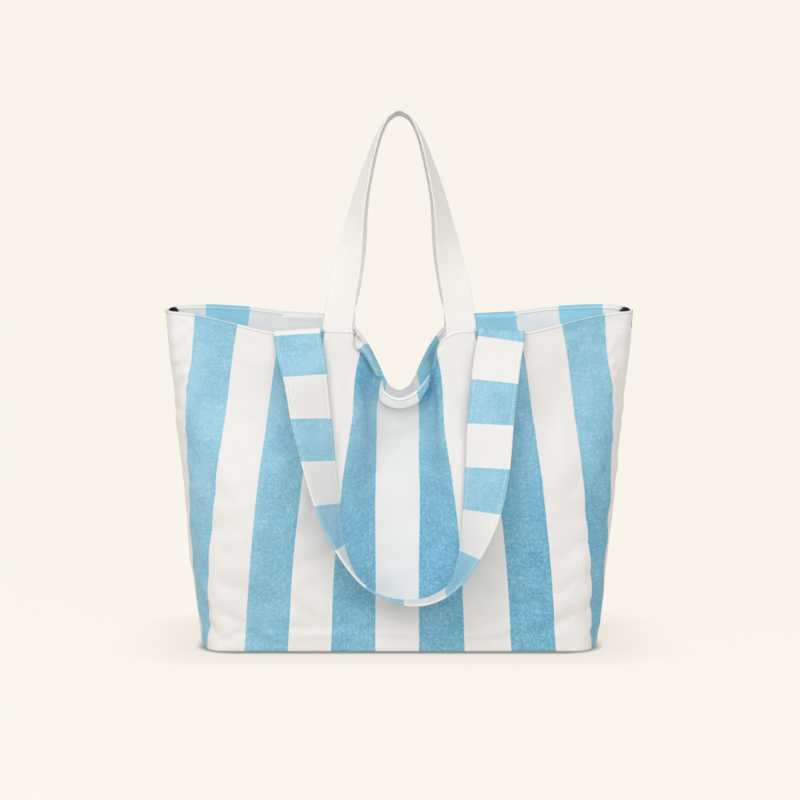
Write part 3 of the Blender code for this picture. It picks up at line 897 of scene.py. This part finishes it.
def stitch_row(name, points, outward):
    """Thread segments laid along points, their ends sunk into the cloth."""
    at = route_lengths(points)
    count, sides, half = int(at[-1] / STITCH_PITCH), 6, STITCH_LENGTH / 2
    girths = ((-1.0, 0.25), (-0.75, 0.85), (0.0, 1.0), (0.75, 0.85), (1.0, 0.25))
    made_points, faces = [], []
    for i in range(count):
        middle = (i + 0.5) * at[-1] / count
        start, centre, end = (np.array([np.interp(x, at, points[:, k]) for k in range(3)])
                              for x in (middle - half, middle, middle + half))
        lift = unit(np.array([np.interp(middle, at, outward[:, k]) for k in range(3)]))
        direction = unit(end - start)
        sideways = np.cross(direction, lift)
        faces += tube_faces(len(girths), sides, len(made_points))
        for x, girth in girths:
            place = centre + direction * (x * half) + lift * (0.05 - 0.30 * x * x)
            for angle in 2 * math.pi * np.arange(sides) / sides:
                made_points.append(place + STITCH_RADIUS * girth * (
                    math.cos(angle) * sideways + math.sin(angle) * lift * 0.9))
    made_points = np.array(made_points)
    return new_object(name, made_points, faces, made_points[:, :2], thread)


def rim_stitches(name, back, u, depth, way):
    """A stitch row along the rim on a panel's outer face, or with way -1 on its inner."""
    d = np.full((1, len(u)), STITCH_ROW)
    line = surface(back, u[None], d, depth)[0]
    out = way * (surface(back, u[None], d, depth - 1.0)[0] - line)
    made = stitch_row(name, line, out)
    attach(made, ROOT)


# The front's rows stop short of the corner where the flap of hem begins.
STITCH_RUNS = {
    "front": (("left_", -336, -106), ("", -82, 336)),
    "back": (("", -336, 336),),
}
for side, back in SIDES:
    for part, first, last in STITCH_RUNS[side]:
        run = np.linspace(first, last, 450)
        rim_stitches(f"{side}_{part}rim_stitches", back, run, 0.0, 1)
        run = run[abs(run) < BAND_END - 3]
        rim_stitches(f"{side}_{part}inner_rim_stitches", back, run, band_depth(run) + FACING,
                     -1)


def banked(centres, roll, up):
    """Directions across a strip that lies along the bag, rolled by so many degrees."""
    along = np.gradient(centres, axis=0)
    across = unit(np.stack([along[:, 2], 0 * along[:, 1], -along[:, 0]], axis=1))
    turn = np.radians(roll)[:, None]
    return across * np.cos(turn) + np.array([0.0, up, 0.0]) * np.sin(turn)


def shoulder_strap(side, back):
    rim = RIMS[back]
    knots = np.array(STRAP_ROUTE, float)
    length = route_lengths(knots[:, :3])
    at = np.linspace(0, length[-1], 210 * SHARE)
    x, y, z, roll = (smooth(length, knots[:, k], at) for k in range(4))
    centres = np.stack([x, y, z + rim - FOLD_DROP[back]], axis=1)
    widths = banked(centres, roll, -1.0)
    # Over the fold the strip's width simply runs along the rim.
    tilt = FOLD_TILT[back] * step01(1 - abs(z + 10) / 60)
    folded = length[STRAP_FOLD + 3]
    for end, way in ((at < folded, -1), (at > length[-1] - folded, 1)):
        widths[end] = np.stack([way * np.cos(tilt), 0 * tilt, -np.sin(tilt)], axis=1)[end]
    exact = route_lengths(centres)
    first = np.interp(length[STRAP_FOLD], at, exact)
    last = np.interp(length[-1] - length[STRAP_FOLD], at, exact)
    pitch = (last - first - STRAP_REST) / STRAP_STRIPES
    run = last - exact if back else exact - first
    stripe = STRIPE / 2 + (run - STRAP_START) * STRIPE / pitch
    if back:
        centres, widths = centres * [-1, -1, 1], widths * [-1, -1, 1]
    from_end = np.minimum(at, at[-1] - at)
    sewn, free = length[STRAP_SEWN], length[STRAP_FOLD]
    press = 0.4 + 0.6 * step01((from_end - sewn) / (free - sewn))
    # The sewn ends inside the bag are painted paler, like the inner face: painted light that
    # lifts their shade.
    paleness = 1.0 + (INNER_PALENESS - 1) * step01((free - from_end) / 6)
    strap, widths, face = ribbon(f"{side}_strap", centres, widths, STRAP_WIDTH, STRAP, stripe,
                                 ((STRAP_ROW, 0.45, 1.0),), canvas, press, paleness)
    pieces = [strap]
    for hand, sign in (("a", -1), ("b", 1)):
        for top, way in (("outer", 1), ("inner", -1)):
            line = centres + widths * (sign * (STRAP_WIDTH / 2 - STRAP_ROW))
            line = line + face * way * (press * (STRAP / 2 - STITCH_RADIUS))[:, None]
            pieces.append(stitch_row(f"{side}_strap_{top}_stitches_{hand}", line, face * way))
    start, end = ((0, (1 if back else -1) * reach * MM, rim * MM) for reach in STRAP_HINGE)
    for piece in pieces:
        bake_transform(piece)
    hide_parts(f"{side}_shoulder_strap", f"{side}_strap_left_end",
                f"{side}_strap_right_end")


def carrying_handle(side, back):
    rim = RIMS[back]
    half = np.array(HANDLE_ROUTE, float)
    # Both handles reach the same height, so the back one is shorter above its foot.
    foot, top = 6, HANDLE_ROUTE[-1][1]
    above = foot + (half[:, 1] - foot) * (HANDLE_TOP - rim - foot) / (top - foot)
    half[:, 1] = np.where(half[:, 1] > foot, above, half[:, 1])
    knots = np.concatenate([half, (half * [-1, 1, 1, 1])[-2::-1]])
    length = route_lengths(knots[:, :2])
    at = np.linspace(0, length[-1], 130 * SHARE + 1)
    x, z, roll, y = (smooth(length, knots[:, k], at) for k in range(4))
    centres = np.stack([x, y, z + rim], axis=1)
    widths = banked(centres, np.clip(roll, 0, 90), 1.0)
    if back:
        closer = 1 - (1 - BACK_HANDLE_NARROWS) * step01(z / 40) * step01((272 - z) / 60)
        centres[:, 0] *= closer
        centres, widths = centres * [-1, -1, 1], widths * [-1, -1, 1]
    plain = np.ones(len(centres))
    handle, _, _ = ribbon(f"{side}_webbing_handle", centres, widths, WEBBING_WIDTH, WEBBING,
                          route_lengths(centres), ((2.6, 0.18, 0.7),), webbing, plain, plain)
    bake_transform(handle)
    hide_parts(f"{side}_handle", f"{side}_handle_left_end", f"{side}_handle_right_end")


for side, back in SIDES:
    shoulder_strap(side, back)
for side, back in SIDES:
    carrying_handle(side, back)

# ---------------------------------------------------------------- base, tapes, fittings


def base_cloth():
    """The base, as rings round the panels' foot, from the floor up and over the board."""
    u = PANEL_U
    foot = surface(False, u[None], cloth_height(False, u)[None], np.zeros((1, len(u))))[0]
    outline = np.concatenate([foot, foot[::-1] * [1, -1, 1]])
    rings = []
    for inset, height in BASE_EDGE:
        ring = outline.copy()
        ring[:, :2] *= 1 - inset / np.linalg.norm(ring[:, :2], axis=1, keepdims=True)
        ring[:, 2] = height
        rings.append(ring)
    rings.append(rings[-1] * [0.98, 0.98, 0] + [0, 0, CANVAS])
    points = np.concatenate(rings)
    base = new_object("base_cloth", points, tube_faces(len(rings), len(outline)),
                      points[:, :2], canvas)
    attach(base, ROOT)
    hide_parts("base_panel")


def binding(name, node, back, u, d, depth, round_length):
    """A tape in a seam, at a depth under a panel's outer face. Its width is in metres, and
    round_length is how long its weave is round both of its faces."""
    faces = []
    for face_depth in (depth, depth + 0.8):
        depths = np.full_like(d, face_depth)
        depths[:, [0, -1]] = depth + 0.4
        faces.append(surface(back, u[None] + 0 * d, d, depths))
    grid = np.concatenate([faces[0], faces[1][::-1]])
    rows, columns = d.shape
    v = np.linspace(0, round_length, 2 * rows)[:, None]
    uv = np.stack(np.broadcast_arrays(u[None], v), axis=-1)
    made = new_object(name, grid.reshape(-1, 3),
                      grid_faces(2 * rows, columns, wrap=True, flip=back),
                      uv.reshape(-1, 2), tape, weld=True)
    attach(made, ROOT)
    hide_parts(node)


base_cloth()
for side, back in SIDES:
    u = PANEL_U[abs(PANEL_U) < BAND_END - 1]
    d = cloth_height(back, u)[None, :] - np.linspace(4.0, 16.0, 9)[:, None]
    binding(f"{side}_base_binding", f"{side}_base_tape", back, u, d, 2.7,
            17)
for hand, sign in (("left", -1), ("right", 1)):
    u = np.sort(sign * np.array([325.0, 328, 331, 333, 335, 336.5, 338]))
    d = cloth_height(True, u)[None, :] * (1 - np.linspace(0.05, 0.87, 90))[:, None]
    binding(f"{hand}_seam_binding", f"{hand}_seam_tape", True, u, d, 2.8,
            700)


def repaint(node, material):
    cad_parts[node].material_slots[0].material = material


enamel, cardboard = metal_material(), board_material()
for hand in ("left", "right"):
    repaint(f"{hand}_snap_socket", enamel)
    repaint(f"{hand}_snap_stud", enamel)
repaint("base_board", cardboard)

# ---------------------------------------------------------------- studio

PAPER = (0.9560, 0.9131, 0.8388)  # how the paper glows, and how brightly
GLOW = 0.93


def studio():
    """A pale sweep: floor, curve and wall in one sheet, with the bag's contact shade."""
    front, reach, bend, wall, side = -20.0, 4.0, 1.2, 6.0, 18.0  # metres
    profile = [(front, 0.0), (reach, 0.0)]
    profile += [(reach + bend * math.sin(a), bend * (1 - math.cos(a)))
                for a in np.linspace(0, math.pi / 2, 14)[1:]]
    profile += [(reach + bend, wall)]
    points = [(x / MM, y / MM, z / MM) for y, z in profile for x in (-side, side)]
    faces = [(2 * i, 2 * i + 1, 2 * i + 3, 2 * i + 2) for i in range(len(profile) - 1)]
    nodes = Nodes("studio_paper")
    # The paper darkens softly where the bag's foot keeps the light off it: the shade
    # depends on the distance from a rectangle well inside the foot.
    beyond = []
    for place, half in zip(nodes.split(nodes.own_place()), (0.200, 0.063)):
        past = nodes.math("SUBTRACT", nodes.math("ABSOLUTE", place), half)
        past = nodes.math("MAXIMUM", past, 0.0)
        beyond.append(nodes.times(past, past))
    away = nodes.math("SQRT", nodes.plus(*beyond))
    close = nodes.range(away, 0.044, 0.060, 0.62, 0.0)
    near = nodes.range(away, 0.040, 0.175, 0.13, 0.0)
    dim = nodes.plus(close, near)
    nodes.feed(colour=(0.08, 0.0765, 0.070), rough=1.0, gloss=0.0, glow=PAPER,
               glow_strength=nodes.math("MULTIPLY_ADD", dim, -GLOW, GLOW))
    sweep = new_object("studio_sweep", points, faces, np.zeros((len(points), 2)),
                       nodes.material)
    # The paper's glow is for the eye only: the room's light is in the world and the lamps.
    sweep.visible_diffuse = False


def look(made, place, target):
    """Puts an object at a place, facing a target."""
    made.location = place
    made.rotation_euler = (Vector(target) - Vector(place)).to_track_quat("-Z", "Y").to_euler()
    bpy.context.scene.collection.objects.link(made)


def area_light(name, place, target, size, power, colour):
    light = bpy.data.lights.new(name, "AREA")
    light.shape = "RECTANGLE"
    light.size, light.size_y = size
    light.energy = power
    light.color = colour
    look(bpy.data.objects.new(name, light), place, target)


def room():
    """Soft light from all round, a little warmer from below."""
    world = bpy.data.worlds.new("soft_room")
    world.use_nodes = True
    tree = world.node_tree
    parts = tree.nodes.new("ShaderNodeSeparateXYZ")
    tree.links.new(tree.nodes.new("ShaderNodeTexCoord").outputs["Generated"], parts.inputs[0])
    height = tree.nodes.new("ShaderNodeMapRange")
    tree.links.new(parts.outputs[2], height.inputs[0])
    height.inputs[1].default_value = -1
    ramp = tree.nodes.new("ShaderNodeValToRGB")
    tree.links.new(height.outputs[0], ramp.inputs[0])
    stops = ramp.color_ramp.elements
    stops[0].position, stops[0].color = 0.2, (0.68, 0.62, 0.54, 1)
    stops[1].position, stops[1].color = 1.0, (0.62, 0.62, 0.62, 1)
    stops.new(0.5).color = (0.68, 0.675, 0.665, 1)
    tree.links.new(ramp.outputs[0], tree.nodes["Background"].inputs[0])
    bpy.context.scene.world = world


def camera():
    lens = bpy.data.cameras.new("camera")
    lens.lens = 90.0
    lens.sensor_width = 36.0
    made = bpy.data.objects.new("camera", lens)
    look(made, (0.0008, -2.57, 0.47), (0.0008, 0.0, 0.3079))
    bpy.context.scene.camera = made


studio()
area_light("key", (-1.7, -2.2, 2.4), (0, 0, 0.25), (2.2, 2.2), 38, (1.0, 0.995, 0.985))
area_light("front", (0.9, -3.2, 1.4), (0, 0, 0.3), (2.6, 1.8), 33, (0.99, 0.995, 1.0))
room()
bpy.context.scene.view_settings.view_transform = "Standard"
camera()
